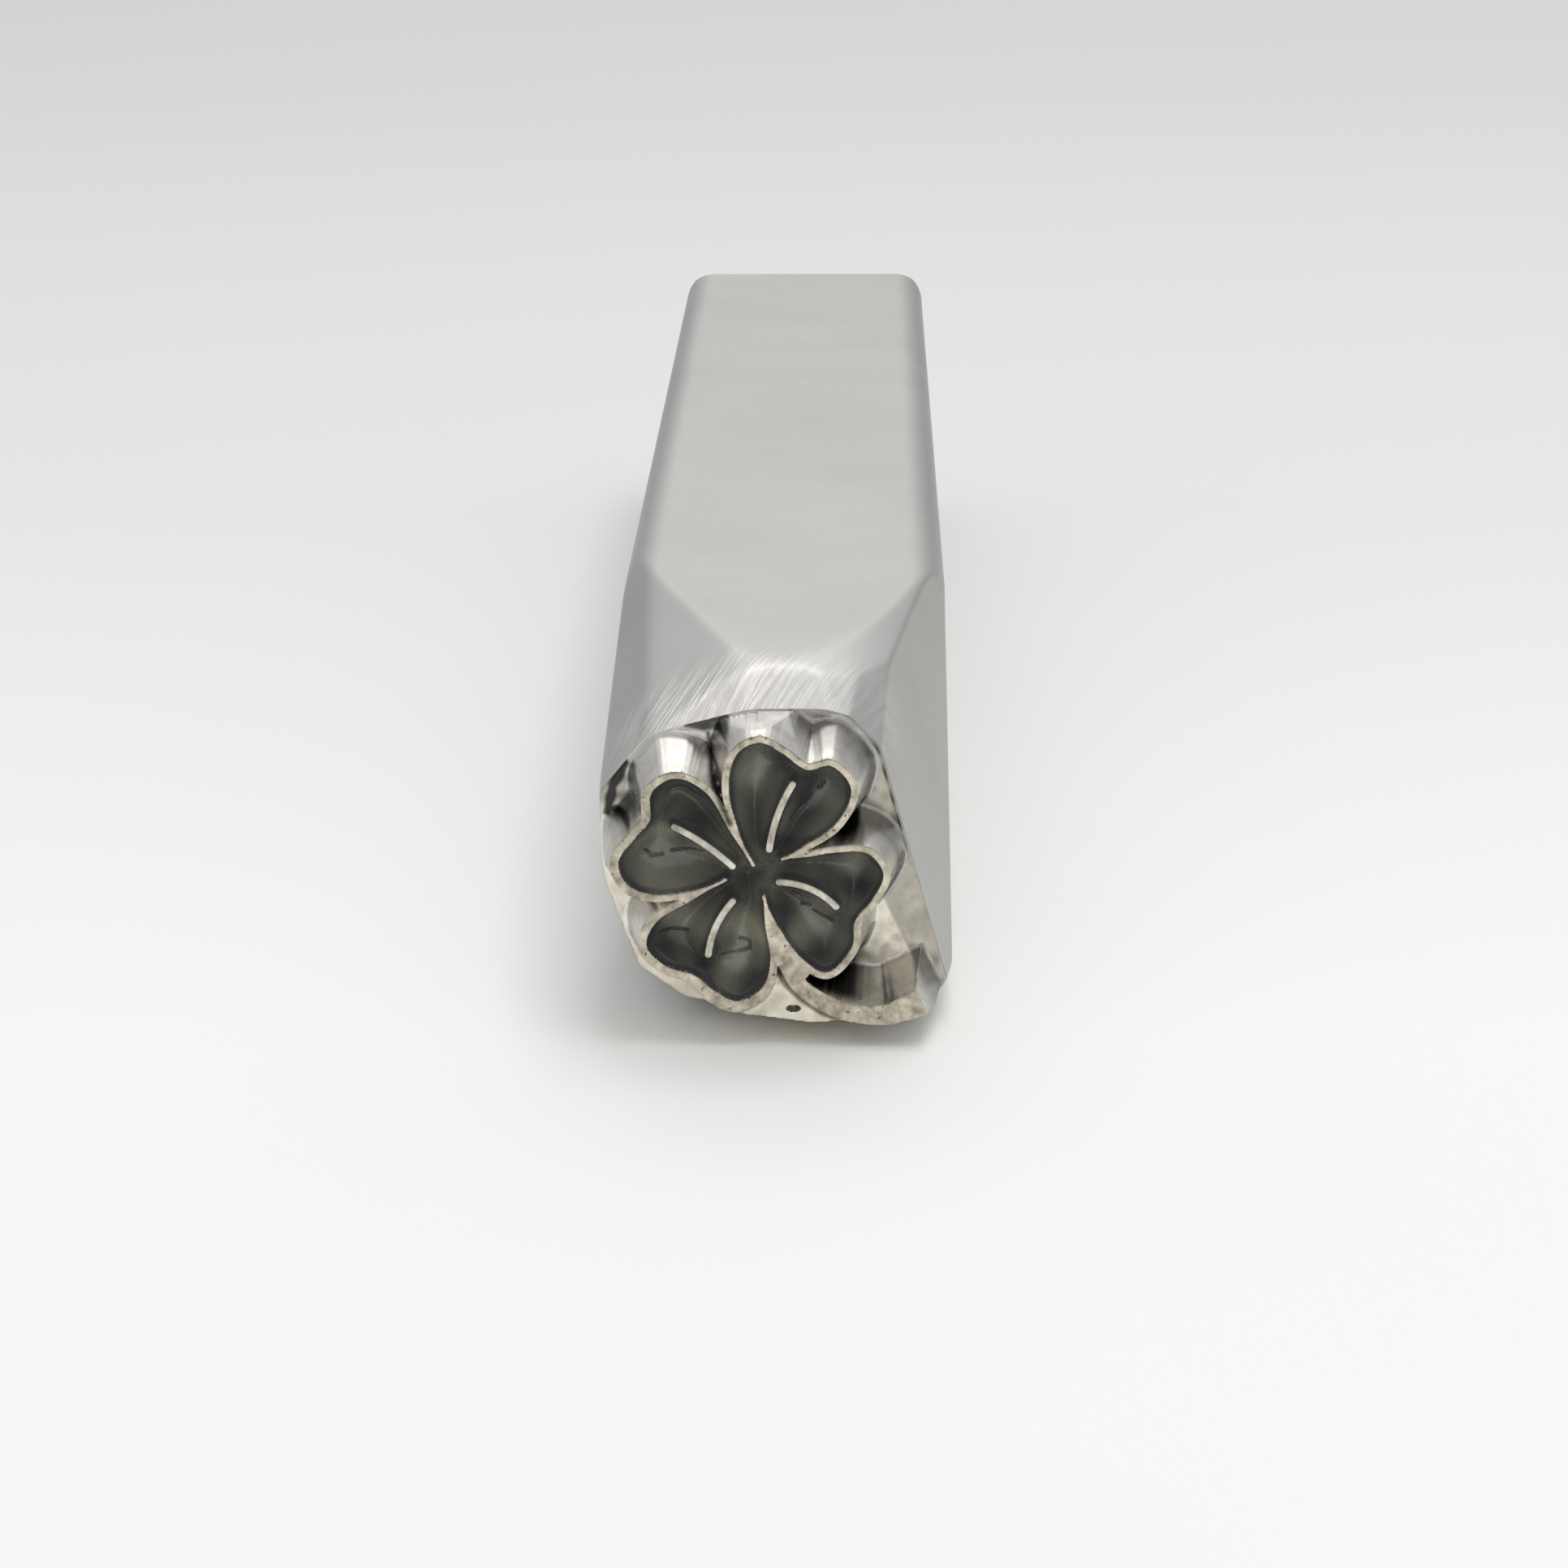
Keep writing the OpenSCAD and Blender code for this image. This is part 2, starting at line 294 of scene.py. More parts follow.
def blank_radius(angles, t):
    """Distance from the axis to the ground surface, for each angle and each t."""
    c, s = np.cos(angles)[None, :], np.sin(angles)[None, :]
    tt = np.asarray(t, float)[:, None] + 0 * c
    low, high = np.zeros_like(tt), np.full_like(tt, 7.5)      # past the corners of the bar
    for _ in range(24):
        mid = (low + high) / 2
        out = blank_edge(mid * c, mid * s, tt) > 0
        high = np.where(out, mid, high)
        low = np.where(out, low, mid)
    return (low + high) / 2


# ---------------------------------------------------------------- the face as a height map


class Face:
    """Everything that depends on a place in the face, for an array of places.

    pocket, clover, stem, vein, outer and edge are distances, below 0 inside the leaves, the
    outline with its leaves, the stem, a vein, the whole design and the ground blank.
    """

    def __init__(self, p):
        self.x, self.z = p[:, 0], p[:, 1]
        self.from_hub = np.hypot(self.x - HUB[0], self.z - HUB[1])
        self.measure_clover(p)
        self.measure_stem(p)
        self.outer = np.minimum(self.clover, self.stem)
        self.edge = blank_edge(self.x, self.z, np.full(len(p), RELIEF + ROLL))
        self.split_top = self.clover - self.stem
        self.measure_web()
        depth = np.where(self.pocket < 0, self.pocket_depth(p), self.outside_depth(p))
        self.depth = np.maximum(depth, self.rolled_edge())
        # How dark each point is painted: painted shade outside the leaves, and in them the black
        # finish with painted shade and painted highlights.
        finish_and_shade = np.where(self.pocket < 0, self.pocket_finish_and_shade(p), self.outside_painted_shade(p))
        self.finish_and_shade = np.clip(finish_and_shade, 0, 1)

    def measure_clover(self, p):
        dist, along = near_line(p, OUTLINE)
        self.pocket = np.where(inside(p, OUTLINE), -dist, dist)
        for tip, root in TIPS:
            self.pocket = np.maximum(self.pocket, TIP_R - distance(p, [tip, root]))
        # The line is thinner near the hub, and wider below the lower leaf and at the far left.
        width = (LINE_W - 0.05 * bell(self.from_hub, 0.9, 1.0)
                 + 0.17 * hill(self.x, self.z, (-1.6, -3.6), (1.7, 0.8))
                 + 0.05 * step(-self.x, 2.6, 3.6))
        self.clover = self.pocket - width
        streak = 0.012 * ripple(along, 3, 0.5, 2.2) + 0.0025 * ripple(along, 5, 3, 12)
        self.clover_wall = self.clover + streak * np.clip(self.clover / STREAK_IN, 0, 1)
        self.vein = np.min([distance(p, v) for v in VEINS], 0) - VEIN_W / 2

    def measure_stem(self, p):
        line = STEM[:, :2]
        way = (line[-1] - line[-2]) / np.linalg.norm(line[-1] - line[-2])
        carried_on = np.vstack([line, line[-1] + 1.5 * way])
        dist, along = near_line(p, carried_on)
        lengths = np.linalg.norm(np.diff(carried_on, axis=0), axis=1)
        half = np.interp(along, np.concatenate([[0], np.cumsum(lengths)]),
                         np.append(STEM[:, 2], STEM[-1, 2]))
        self.past_end = (self.x - line[-1][0]) * way[0] + (self.z - line[-1][1]) * way[1]
        stem = smax(dist - half, self.past_end, 0.05)
        self.stem = smin(stem, distance(p, CROTCH) - CROTCH_W, 0.1)
        streak = 0.005 * ripple(along, 8, 0.4, 5)
        self.stem_wall = self.stem + streak * np.clip(self.stem / STREAK_IN, 0, 1)

    def measure_web(self):
        """The low web lies below the first half of the stem, and a pit goes down in it."""
        self.above_stem = (self.x - 0.5) * 0.66 + (self.z + 2.85) * 0.75
        self.web_share = (step(-self.above_stem, -0.25, 0.1) * step(-self.z, 1.7, 2.2)
                          * step(self.x, -1.5, -0.8))
        self.web = np.where(self.outer > 0, self.web_share, 0)
        pore = (((self.x - PORE[0]) / PORE_SIZE[0]) ** 2
                + ((self.z - PORE[1]) / PORE_SIZE[1]) ** 2)
        self.pore = step(-pore, -1.2, -0.8)

    def outside_depth(self, p):
        """Depth of the tops, the walls, the web and the field."""
        high = step(self.z, 1.3, 2.9)
        draft = DRAFT + HIGH_DRAFT * high
        self.foot = self.outer * DRAFT / draft
        field = RELIEF - 0.012 + 0.012 * ripple2(p, 11, 0.3, 2.4)
        web_depth = (0.05 + 0.16 * step(self.clover, 0.02, 0.5)
                     + 0.12 * bell(self.stem, 0.07, 0.06))
        web_depth += 0.3 * self.pore
        field = field + (web_depth - field) * self.web_share
        wall = smin(self.clover_wall, self.stem_wall, 0.06)
        fillet = 0.8 - 0.5 * high - 0.7 * self.web_share * (1 - high)
        out = smin(wall * (RELIEF / draft), field, fillet)
        for angle, reach, lean in CUTTING:
            a = math.radians(angle)
            past = self.x * math.cos(a) + self.z * math.sin(a) - reach
            out = np.maximum(out, RELIEF + past / lean)
        rim = np.clip(np.minimum(-self.outer, self.pocket) / CREST_W, 0, 1)
        crown = CREST * (1 - rim) ** 2
        return np.where(self.outer <= 0, crown, np.clip(out, CREST, None))

    def pocket_depth(self, p):
        """Depth of the leaves' bowls, their tool marks and the veins."""
        self.from_wall = np.maximum(smin(-self.pocket, self.vein, 0.04), 0)
        bowl = 0.74 * (1 - bell(self.from_wall, 0, 0.36))
        bowl += 0.2 * hill(self.x, self.z, HUB, (0.75, 0.6))
        bowl += 0.22 + 0.01 * ripple2(p, 21, 0.4, 2.2)
        pit = smin(self.from_wall * 5.0, bowl, 0.2)
        marks = np.min([distance(p, line) for line in TOOL_MARKS], 0)
        self.marks = step(-marks, -0.06, -0.02)
        pit = pit + 0.05 * self.marks
        rib = np.clip(-self.vein / VEIN_CREST_W, 0, 1)
        crown = VEIN_CREST * (1 - rib) ** 2
        return np.where(self.vein <= 0, crown, np.clip(pit, VEIN_CREST, None))

    def rolled_edge(self):
        """Depth of the rounded outer edge, and -1 away from it."""
        roll = np.clip(self.edge + ROLL, 0, ROLL)
        rolled = RELIEF + ROLL - np.sqrt(np.maximum(ROLL ** 2 - roll ** 2, 0))
        return np.where(self.edge > -ROLL, rolled, -1)

    def outside_painted_shade(self, p):
        """Painted shade: dark where two walls stand close and deep, in the scoop at the far left,
        in a thin arc beside the outline, beside the walls, in the channel by the stem, in the pit,
        on the stem's end and along the stem's edge.
        """
        x, z = self.x, self.z
        away = [distance(p, leaf) for leaf in LEAVES] + [np.maximum(self.stem, 0) + 0.2]
        near, next_near = np.sort(np.array(away), 0)[:2]
        # Painted shade where two walls stand close together.
        narrow = step(-(near + next_near), -1.6, -0.9) * step(-x, -2.4, -2.0)
        narrow *= 0.1 + 0.72 * step(x, -0.6, 0.6)
        narrow *= bell(near, next_near, 0.8) * (1 - self.web_share)
        # Painted shade, darker the deeper the place lies.
        deep = np.clip(self.depth / 1.2, 0, 1)
        # Painted shade, in bands, in the scoop at the far left.
        scoop = hill(x, z, (-4.15, 1.85), (0.62, 0.72), 4)
        scoop *= 0.6 + 0.2 * np.sin(z * 13 + 1.2 * np.sin(x * 2))
        # A painted shadow in a thin arc beside the outline, at the upper right.
        arc = bell(self.edge, -0.08, 0.035) * step(x, 2.2, 2.8) * step(z, -0.3, 0.6)
        arc *= 0.6 + 0.3 * np.sin(9 * z)
        # Painted shade in lines beside the walls.
        shade_line = np.max([much * step(half - distance(p, line), -0.1, 0.05)
                        for half, much, line in SHADE_LINES], 0)
        # Painted shade in the channel beside the stem.
        channel = (step(-x, -2.8, -1.9) * step(-z, 2.2, 2.6)
                   * step(self.above_stem, 0.02, 0.15))
        outside = 1.4 * narrow * deep + 0.9 * scoop + 0.75 * arc + shade_line
        outside += 0.84 * channel * np.clip(self.outer / 0.06, 0, 1)
        # Painted shade in the pit and on the stem's end, and a painted shadow along the stem's
        # edge in the web.
        outside += 0.5 * self.pore + 0.45 * step(self.past_end, 0.02, 0.08) * deep
        return outside + 0.5 * self.web_share * bell(self.stem, 0.07, 0.05)

    def pocket_finish_and_shade(self, p):
        """Black finish in the leaves, with painted shade along their walls and painted highlights
        in lighter spots; lighter at the hub and darker in the tool marks.
        """
        lit_spots = sum(much * np.exp(-((self.x - u) ** 2 + (self.z - v) ** 2) / r ** 2)
                   for u, v, r, much in LIT_SPOTS)
        # Painted shade along the walls of the bowls; lighter at the hub.
        inner = 0.8 - 0.4 * bell(self.from_hub, 0, 0.8, 4) + 0.35 * bell(self.from_wall, 0, 0.14)
        # The lighter spots are painted highlights; the tool marks are darker.
        return inner + 0.16 * ripple2(p, 31, 0.25, 1.1) - 0.95 * lit_spots + 0.6 * self.marks


# Where mesh edges have to run: a value of Face and the level to follow.
EDGE_LEVELS = [
    ("pocket", 0.0), ("pocket", CREST_W), ("pocket", -0.075),
    ("outer", 0.0), ("outer", -CREST_W), ("foot", DRAFT), ("foot", FOOT),
    ("vein", 0.0), ("vein", -VEIN_CREST_W), ("vein", 0.075),
    ("split_top", 0.0), ("web", 0.5),
    ("edge", -ROLL), ("edge", -ROLL * 0.4), ("edge", 0.0),
]


def split_at(p, tris, values, level):
    """Cuts every triangle that crosses a level, so that mesh edges run along it."""
    v = values - level
    v[np.abs(v) < 1e-5] = 0
    sign = np.sign(v)
    s = sign[tris]
    crossing = (s.min(1) < 0) & (s.max(1) > 0)
    keep, cut = tris[~crossing], tris[crossing]
    made, new_points, new_tris = {}, [], []

    def between(i, j):
        key = (i, j) if i < j else (j, i)
        if key not in made:
            a, b = key
            t = v[a] / (v[a] - v[b])
            made[key] = len(p) + len(new_points)
            new_points.append(p[a] + t * (p[b] - p[a]))
        return made[key]

    for tri in cut.tolist():
        sg = [sign[i] for i in tri]
        if 0 in sg:
            k = sg.index(0)
            a, b, c = tri[k], tri[(k + 1) % 3], tri[(k + 2) % 3]
            m = between(b, c)
            new_tris += [(a, b, m), (a, m, c)]
            continue
        k = next(k for k in range(3) if sg[k] != sg[(k + 1) % 3] and sg[k] != sg[(k + 2) % 3])
        a, b, c = tri[k], tri[(k + 1) % 3], tri[(k + 2) % 3]
        m, n = between(a, b), between(a, c)
        new_tris += [(a, m, n), (m, b, c), (m, c, n)]
    if new_points:
        p = np.vstack([p, np.array(new_points)])
        keep = np.vstack([keep, np.array(new_tris, dtype=keep.dtype)])
    return p, keep


def grid_mesh(spacing, half):
    """Triangles over a square, in rows that are offset by half a step."""
    n = int(round(2 * half / spacing)) + 1
    g = np.linspace(-half, half, n)
    x, z = np.meshgrid(g, g)
    x[1::2, :-1] += spacing / 2 * 0.98
    p = np.stack([x.ravel(), z.ravel()], 1)
    tris = []
    for r in range(n - 1):
        a = r * n + np.arange(n - 1)
        if r % 2 == 0:
            tris += [np.stack([a, a + 1, a + n], 1), np.stack([a + 1, a + n + 1, a + n], 1)]
        else:
            tris += [np.stack([a, a + n + 1, a + n], 1), np.stack([a, a + 1, a + n + 1], 1)]
    return p, np.concatenate(tris)


def compact(p, tris):
    """Only the points in use, the triangles between them, and which points they were."""
    used, index = np.unique(tris, return_inverse=True)
    return p[used], index.reshape(tris.shape), used


def joined(a, b):
    """One Face for the places of a followed by those of b."""
    for k in vars(a):
        setattr(a, k, np.concatenate([getattr(a, k), getattr(b, k)]))
    return a


def build_face():
    """Points and triangles of the face, its values at the points, and each triangle's middle."""
    p, tris = grid_mesh(GRID, GRID_HALF)
    edge = blank_edge(p[:, 0], p[:, 1], np.full(len(p), RELIEF + ROLL))
    tris = tris[(edge[tris] < 0.1).all(1)]
    p, tris, _ = compact(p, tris)
    f = Face(p)
    for tip in WALL_TIPS:
        d = np.array(tip) - HUB
        side = d[0] * (p[:, 1] - HUB[1]) - d[1] * (p[:, 0] - HUB[0])
        n = len(p)
        p, tris = split_at(p, tris, side, 0.0)
        f = joined(f, Face(p[n:]))
    for name, level in EDGE_LEVELS:
        n = len(p)
        p, tris = split_at(p, tris, getattr(f, name), level)
        f = joined(f, Face(p[n:]))
    middle = p[tris].mean(1)
    area = np.abs(np.cross(p[tris[:, 1]] - p[tris[:, 0]], p[tris[:, 2]] - p[tris[:, 0]]))
    keep = (f.edge[tris].mean(1) < 0) & (area > 1e-9)
    return p, tris[keep], f, middle[keep]


# ---------------------------------------------------------------- meshes in Blender


def to_row(x, t, z):
    """Row frame, in metres, of a place x across, t behind the face and z from the axis."""
    return np.stack([x * MM, (FACE_Y + t) * MM, (z + HALF) * MM], -1)


def new_mesh(name, points, faces, materials, face_slots=None, sharp=38):
    """A shaded object; edges that turn by more than sharp degrees stay crisp."""
    mesh = bpy.data.meshes.new(name)
    mesh.from_pydata(points.tolist(), [], [tuple(int(i) for i in f) for f in faces])
    for m in materials:
        mesh.materials.append(m)
    if face_slots is not None:
        mesh.polygons.foreach_set("material_index", np.asarray(face_slots, np.int32))
    mesh.polygons.foreach_set("use_smooth", np.ones(len(mesh.polygons), bool))
    mesh.update()
    mesh.set_sharp_from_angle(angle=math.radians(sharp))
    mesh.validate()
    obj = bpy.data.objects.new(name, mesh)
    bpy.context.scene.collection.objects.link(obj)
    return obj


def paint(obj, name, values):
    """Gives each point of a mesh a value, which a material reads by its name."""
    layer = obj.data.attributes.new(name, "FLOAT", "POINT")
    layer.data.foreach_set("value", values.astype(np.float32))


def patch_solid(name, p, tris, depth, finish_and_shade, back, materials, slots):
    """A patch of the height map, closed by its sides and a flat back."""
    q, t, used = compact(p, tris)
    d = depth[used]
    n = len(q)
    points = np.vstack([to_row(q[:, 0], d, q[:, 1]),
                        to_row(q[:, 0], np.full(n, back), q[:, 1])])
    edges = np.concatenate([t[:, [0, 1]], t[:, [1, 2]], t[:, [2, 0]]])
    owner = np.tile(slots, 3)
    key = edges[:, 0].astype(np.int64) * n + edges[:, 1]
    other = edges[:, 1].astype(np.int64) * n + edges[:, 0]
    border = ~np.isin(key, other)
    rim = edges[border]
    faces = [tuple(f) for f in t] + [(c + n, b + n, a + n) for a, b, c in t]
    faces += [(b, a, a + n, b + n) for a, b in rim]
    face_slots = np.concatenate([slots, slots, owner[border]])
    obj = new_mesh(name, points, faces, materials, face_slots)
    paint(obj, "finish_and_shade", np.tile(finish_and_shade[used], 2))
    return obj


def swept(name, angles, ts, radii, mat, front, back):
    """Rings of the bar, closed at both ends.

    front and back add rings inside the first and last: a share of its radius, and a depth.
    """
    rings = [(radii[0] * share, t) for share, t in front]
    rings += list(zip(radii, ts))
    rings += [(radii[-1] * share, t) for share, t in back]
    n = len(angles)
    points = [to_row(r * np.cos(angles), np.full(n, t), r * np.sin(angles)) for r, t in rings]
    for _, t in (rings[0], rings[-1]):
        points.append(to_row(np.zeros(1), np.array([t]), np.zeros(1)))
    faces = []
    i = np.arange(n)
    j = (i + 1) % n
    for k in range(len(rings) - 1):
        a, b = k * n, (k + 1) * n
        faces += np.stack([a + i, b + i, b + j, a + j], 1).tolist()
    first, last = len(rings) * n, len(rings) * n + 1
    a = (len(rings) - 1) * n
    faces += [(first, u, v) for u, v in zip(i, j)]
    faces += [(last, a + v, a + u) for u, v in zip(i, j)]
    return new_mesh(name, np.vstack(points), faces, [mat], sharp=50)


# ---------------------------------------------------------------- materials

NOISE_SPAN = (0.3, 0.7)        # where nearly all of a noise texture's values lie


def material(name):
    m = bpy.data.materials.new(name)
    m.use_nodes = True
    return m, m.node_tree.nodes, m.node_tree.links, m.node_tree.nodes["Principled BSDF"]


def mapped(nodes, links, scale, rotation=(0, 0, 0)):
    """Object coordinates, turned and then scaled to so many features a metre on each axis."""
    coord = nodes.new("ShaderNodeTexCoord")
    turn = nodes.new("ShaderNodeMapping")
    turn.inputs["Rotation"].default_value = rotation
    links.new(coord.outputs["Object"], turn.inputs["Vector"])
    size = nodes.new("ShaderNodeMapping")
    size.inputs["Scale"].default_value = scale
    links.new(turn.outputs["Vector"], size.inputs["Vector"])
    return size.outputs["Vector"]


def noise(nodes, links, vector, detail, rough=0.55, distortion=0.0):
    n = nodes.new("ShaderNodeTexNoise")
    n.inputs["Scale"].default_value = 1.0
    n.inputs["Detail"].default_value = detail
    n.inputs["Roughness"].default_value = rough
    n.inputs["Distortion"].default_value = distortion
    links.new(vector, n.inputs["Vector"])
    return n.outputs["Fac"]


def ramp(nodes, links, value, stops):
    """Colours of a value, from stops of a position and a colour, or a position and a grey."""
    r = nodes.new("ShaderNodeValToRGB")
    while len(r.color_ramp.elements) < len(stops):
        r.color_ramp.elements.new(0.5)
    for e, (at, colour) in zip(r.color_ramp.elements, stops):
        e.position = at
        e.color = (*colour, 1) if isinstance(colour, tuple) else (colour, colour, colour, 1)
    links.new(value, r.inputs["Fac"])
    return r.outputs["Color"]


def rescale(nodes, links, value, span, to=(0.0, 1.0)):
    """A value moved from one span to another, and kept inside it."""
    r = nodes.new("ShaderNodeMapRange")
    for name, number in zip(("From Min", "From Max", "To Min", "To Max"), (*span, *to)):
        r.inputs[name].default_value = number
    links.new(value, r.inputs["Value"])
    return r.outputs["Result"]


def bump(nodes, links, value, strength, depth, normal=None):
    b = nodes.new("ShaderNodeBump")
    b.inputs["Strength"].default_value = strength
    b.inputs["Distance"].default_value = depth
    links.new(value, b.inputs["Height"])
    if normal is not None:
        links.new(normal, b.inputs["Normal"])
    return b.outputs["Normal"]


def blend_colour(nodes, links, share, low, high):
    """low where share is 0, high where it is 1; each is a colour or another node's output."""
    mix = nodes.new("ShaderNodeMix")
    mix.data_type = "RGBA"
    links.new(share, mix.inputs["Factor"])
    for socket, value in ((mix.inputs["A"], low), (mix.inputs["B"], high)):
        if isinstance(value, tuple):
            socket.default_value = (*value, 1)
        else:
            links.new(value, socket)
    return mix.outputs["Result"]


def painted(nodes, name):
    """The value that the mesh carries at each point under this name."""
    n = nodes.new("ShaderNodeAttribute")
    n.attribute_name = name
    return n.outputs["Fac"]


def times(nodes, links, a, b):
    n = nodes.new("ShaderNodeMath")
    n.operation = "MULTIPLY"
    links.new(a, n.inputs[0])
    links.new(b, n.inputs[1])
    return n.outputs[0]


def steel(name, dark, light, rough, grain, grain_depth, mottle, scratch=None, painted_shade_colour=None,
          specks=None):
    """Steel with a mottled colour, drawn or ground grain and a varying gloss.

    scratch is a scale, a turn in degrees and a depth, the colour after it the painted shade that
    the mesh's own value blends in, specks a scale and a colour.
    """
    m, nodes, links, bsdf = material(name)
    bsdf.inputs["Metallic"].default_value = 1.0
    bsdf.inputs["Specular Tint"].default_value = (0.6, 0.6, 0.6, 1)
    cloud = noise(nodes, links, mapped(nodes, links, (mottle,) * 3), 5)
    colour = ramp(nodes, links, cloud, list(zip(NOISE_SPAN, (dark, light))))
    if specks is not None:
        scale, shade = specks
        dots = noise(nodes, links, mapped(nodes, links, (scale,) * 3), 2, 0.5)
        share = ramp(nodes, links, dots, [(0.64, 0), (0.72, 1)])
        colour = blend_colour(nodes, links, share, colour, shade)
    if painted_shade_colour is not None:
        # Painted shade, blended in where the mesh's painted value says.
        colour = blend_colour(nodes, links, painted(nodes, "finish_and_shade"), colour, painted_shade_colour)
    lines = noise(nodes, links, mapped(nodes, links, grain), 6, 0.6)
    links.new(rescale(nodes, links, lines, NOISE_SPAN, rough), bsdf.inputs["Roughness"])
    normal = bump(nodes, links, lines, 0.6, grain_depth)
    if scratch is not None:
        scale, turn, depth = scratch
        marks = mapped(nodes, links, scale, (0, 0, math.radians(turn)))
        cut = ramp(nodes, links, noise(nodes, links, marks, 3, 0.5), [(0.42, 0), (0.6, 1)])
        cut = times(nodes, links, cut, painted(nodes, "scratched"))
        colour = blend_colour(nodes, links, cut, colour, FRESH_STEEL)
        normal = bump(nodes, links, cut, 0.7, depth, normal)
    links.new(colour, bsdf.inputs["Base Color"])
    links.new(normal, bsdf.inputs["Normal"])
    return m


def darkened(name, deep, lit_olive):
    """The black finish in the leaves: near black as painted shade in the corners, and olive as
    painted light where light reaches.
    """
    m, nodes, links, bsdf = material(name)
    cloud = noise(nodes, links, mapped(nodes, links, (1100,) * 3), 4)
    colour = ramp(nodes, links, cloud, [(0.35, tuple(c * 0.8 for c in lit_olive)), (0.7, lit_olive)])
    # Near black for the finish and the painted shade, olive for the painted highlights.
    colour = blend_colour(nodes, links, painted(nodes, "finish_and_shade"), colour, deep)
    links.new(colour, bsdf.inputs["Base Color"])
    bsdf.inputs["Specular IOR Level"].default_value = 0.75
    fine = noise(nodes, links, mapped(nodes, links, (2600,) * 3), 5)
    links.new(rescale(nodes, links, fine, NOISE_SPAN, (0.2, 0.36)), bsdf.inputs["Roughness"])
    strokes = mapped(nodes, links, (900, 900, 5200), (0, math.radians(35), 0))
    normal = bump(nodes, links, noise(nodes, links, strokes, 3, 0.5, 1.5), 0.5, 0.000006)
    links.new(normal, bsdf.inputs["Normal"])
    return m


FRESH_STEEL = (0.86, 0.835, 0.81)
# Colour of the painted shade on the walls and the field.
PAINTED_SHADE = (0.055, 0.053, 0.05)
# The bar's finish: a fine grain drawn along it. Its depth is in metres, like the other grains.
DRAWN = {"dark": (0.65, 0.643, 0.63), "light": (0.71, 0.703, 0.69), "rough": (0.3, 0.4),
         "grain": (6000, 300, 6000), "grain_depth": 0.0000008, "mottle": 180}
EVEN = {"grain": (6000, 6000, 6000), "grain_depth": 0.000008, "rough": (0.22, 0.42)}

bar_steel = steel("bar_steel", **DRAWN)
struck_steel = steel("struck_steel", **DRAWN, scratch=((1300, 1300, 1300), 0, 0.00005))
nose_steel = steel("nose_steel", **DRAWN, scratch=((8000, 420, 250), 19, 0.000012))
# The walls, lands and field blend in painted shade.
wall_steel = steel("wall_steel", (0.64, 0.62, 0.585), (0.9, 0.875, 0.83), (0.2, 0.32),
                   (2200, 150, 2200), grain_depth=0.000003, mottle=1500, painted_shade_colour=PAINTED_SHADE)
land_steel = steel("land_steel", (0.3, 0.26, 0.205), (0.8, 0.725, 0.6), **EVEN, mottle=3200,
                   specks=(7500, (0.1, 0.075, 0.06)), painted_shade_colour=(0.03, 0.03, 0.025))
vein_steel = steel("vein_steel", (0.34, 0.31, 0.25), (0.84, 0.81, 0.71), **EVEN, mottle=2600)
field_steel = steel("field_steel", (0.68, 0.63, 0.53), (1.0, 0.945, 0.81), (0.24, 0.42),
                    (4000, 4000, 1800), grain_depth=0.000008, mottle=1900, painted_shade_colour=PAINTED_SHADE)
recess_steel = darkened("recess_steel", (0.05, 0.05, 0.051), (0.34, 0.335, 0.26))

# ---------------------------------------------------------------- the working end

points, tris, face, middle = build_face()
at = {k: getattr(face, k)[tris].mean(1)
      for k in ("pocket", "outer", "foot", "vein", "split_top", "web")}
in_pocket = at["pocket"] < 0
on_vein = in_pocket & (at["vein"] < 0)
is_web = ~in_pocket & (at["web"] > 0.5)
raised = ~in_pocket & ((at["foot"] < FOOT) | is_web)
is_stem = raised & ((at["split_top"] > 0) | is_web)
is_clover = raised & ~is_stem
is_land = (at["outer"] < 0) | is_web
vein_of = np.stack([distance(middle, v) for v in VEINS], 1).argmin(1)
leaf_of = np.zeros(len(tris), int)
for leaf, curve in enumerate(LEAVES):
    leaf_of[in_pocket & inside(middle, np.vstack([HUB[None], curve]))] = leaf


def add_patch(name, node, mask, back, materials, slots):
    """A piece of the face, as deep as back. slots gives each triangle's material."""
    obj = patch_solid(name, points, tris[mask], face.depth, face.finish_and_shade, back, materials,
                      slots[mask].astype(np.int32))
    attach(obj, "root")
    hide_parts(node)


one_material = np.zeros(len(tris))
land_or_wall = np.where(is_land, 0, 1)
add_patch("field_skin", "face_field", ~in_pocket & ~raised, RELIEF + 0.45, [field_steel],
          one_material)
add_patch("clover_wall", "clover_outline", is_clover, RELIEF + 0.02, [land_steel, wall_steel],
          land_or_wall)
add_patch("stem_ridge", "stem", is_stem, RELIEF + 0.02, [land_steel, wall_steel, field_steel],
          np.where(is_web, 2, land_or_wall))
for leaf, name in enumerate(LEAF_NAMES):
    add_patch("vein_rib_" + name, "vein_" + name, on_vein & (vein_of == leaf), RELIEF,
              [vein_steel], one_material)
    add_patch("leaf_bowl_" + name, "recess_" + name, in_pocket & ~on_vein & (leaf_of == leaf),
              RELIEF, [recess_steel], one_material)

# ---------------------------------------------------------------- the bar

NOSE_RINGS = 132
angles = np.linspace(0, 2 * np.pi, SIDES, endpoint=False)


def nose_scratches(across, behind, up):
    """Strongest on top just behind the face, and weaker towards the right."""
    return (1 - step(behind, 3.6, 6.5)) * step(up, 1.5, 3) * (1 - 0.6 * step(across, -1, 1))


def hammer_marks(across, behind, up):
    return step(behind, TOOL_LEN - 1.6, TOOL_LEN - 0.4)


